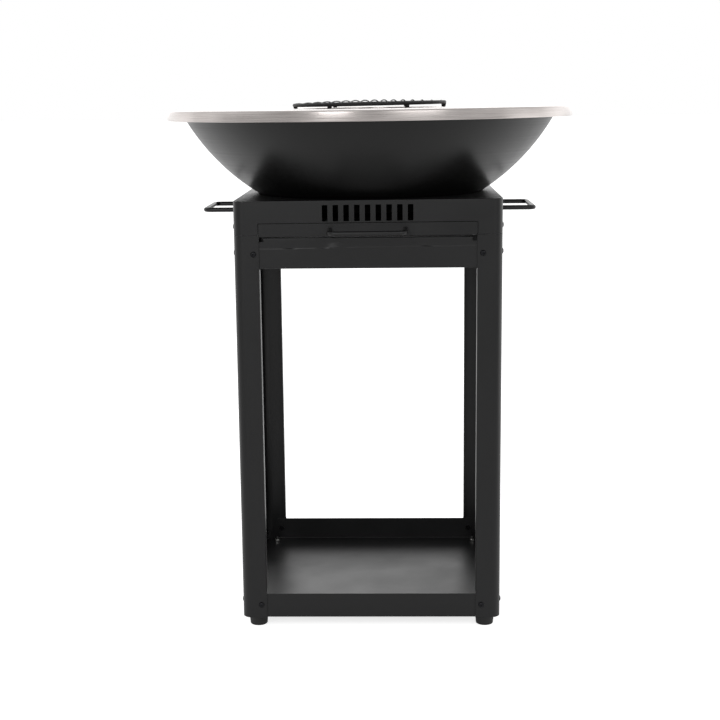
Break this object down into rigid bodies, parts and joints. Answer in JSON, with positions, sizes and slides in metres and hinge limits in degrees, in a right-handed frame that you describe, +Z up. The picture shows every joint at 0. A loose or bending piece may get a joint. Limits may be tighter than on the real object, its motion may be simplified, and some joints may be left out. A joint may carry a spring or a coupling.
{
  "type": "wood and charcoal grill",
  "caption": "Free-standing fire bowl grill: square sheet-steel stand with storage tray and ash drawer, dished bowl, round hot plate and round wire cooking grate.",
  "frame": {"origin": "on the floor, at the middle of the stand, the plane of the four feet", "axes": "+Z up, -Y towards the front where the ash drawer is, +X to the right as seen from the front"},
  "size_m": [0.8, 0.8, 1.0104],
  "materials": {
    "stand_paint": "fine-grained black powder coat on sheet steel",
    "bowl_paint": "satin black heat-resistant paint on dished steel",
    "plate_steel": "bare steel with a turned brushed grain",
    "grate_wire": "glossy black enamel on steel wire",
    "cast_grate": "as cast, dark",
    "foot_plastic": "moulded black plastic",
    "fastener": "black zinc-plated steel"
  },
  "bodies": {
    "stand": {"leg_front_left": "stand_paint", "leg_front_right": "stand_paint", "leg_rear_right": "stand_paint", "leg_rear_left": "stand_paint", "foot_front_left": "foot_plastic", "foot_front_right": "foot_plastic", "foot_rear_right": "foot_plastic", "foot_rear_left": "foot_plastic", "foot_nut_front_left": "fastener", "foot_nut_front_right": "fastener", "foot_nut_rear_right": "fastener", "foot_nut_rear_left": "fastener", "storage_tray": "stand_paint", "apron_front": "stand_paint", "apron_right": "stand_paint", "apron_rear": "stand_paint", "apron_left": "stand_paint", "housing": "stand_paint", "drawer_runner_left": "stand_paint", "drawer_runner_right": "stand_paint", "lower_bolt_front_left_face": "fastener", "lower_bolt_front_left_side": "fastener", "lower_bolt_front_right_face": "fastener", "lower_bolt_front_right_side": "fastener", "lower_bolt_rear_right_face": "fastener", "lower_bolt_rear_right_side": "fastener", "lower_bolt_rear_left_face": "fastener", "lower_bolt_rear_left_side": "fastener", "upper_bolt_front_left_face": "fastener", "upper_bolt_front_left_side": "fastener", "upper_bolt_front_right_face": "fastener", "upper_bolt_front_right_side": "fastener", "upper_bolt_rear_right_face": "fastener", "upper_bolt_rear_right_side": "fastener", "upper_bolt_rear_left_face": "fastener", "upper_bolt_rear_left_side": "fastener", "housing_bolt_front_left_side": "fastener", "housing_bolt_front_right_side": "fastener", "housing_bolt_rear_right_side": "fastener", "housing_bolt_rear_left_side": "fastener", "housing_bolt_rear_left": "fastener", "housing_bolt_rear_right": "fastener", "side_handle_left": "stand_paint", "side_handle_right": "stand_paint", "handle_nut_left_front": "fastener", "handle_nut_left_rear": "fastener", "handle_nut_right_front": "fastener", "handle_nut_right_rear": "fastener"},
    "drawer": {"ash_drawer_pan": "stand_paint", "drawer_front": "stand_paint", "drawer_handle": "stand_paint"},
    "bowl": {"fire_bowl": "bowl_paint"},
    "coal_bed": {"coal_grate": "cast_grate"},
    "plancha": {"plancha_plate": "plate_steel"},
    "top_grate": {"cooking_grate": "grate_wire"}
  },
  "joints": [
    {"name": "drawer_slide", "type": "slide", "parent": "stand", "child": "drawer", "axis": [0, -1, 0], "range_m": [0, 0.3]},
    {"name": "bowl_lift", "type": "slide", "parent": "stand", "child": "bowl", "axis": [0, 0, 1], "range_m": [0, 0.06]},
    {"name": "coal_grate_lift", "type": "slide", "parent": "bowl", "child": "coal_bed", "axis": [0, 0, 1], "range_m": [0, 0.15]},
    {"name": "plate_lift", "type": "slide", "parent": "bowl", "child": "plancha", "axis": [0, 0, 1], "range_m": [0, 0.05]},
    {"name": "grate_lift", "type": "slide", "parent": "plancha", "child": "top_grate", "axis": [0, 0, 1], "range_m": [0, 0.05]}
  ]
}
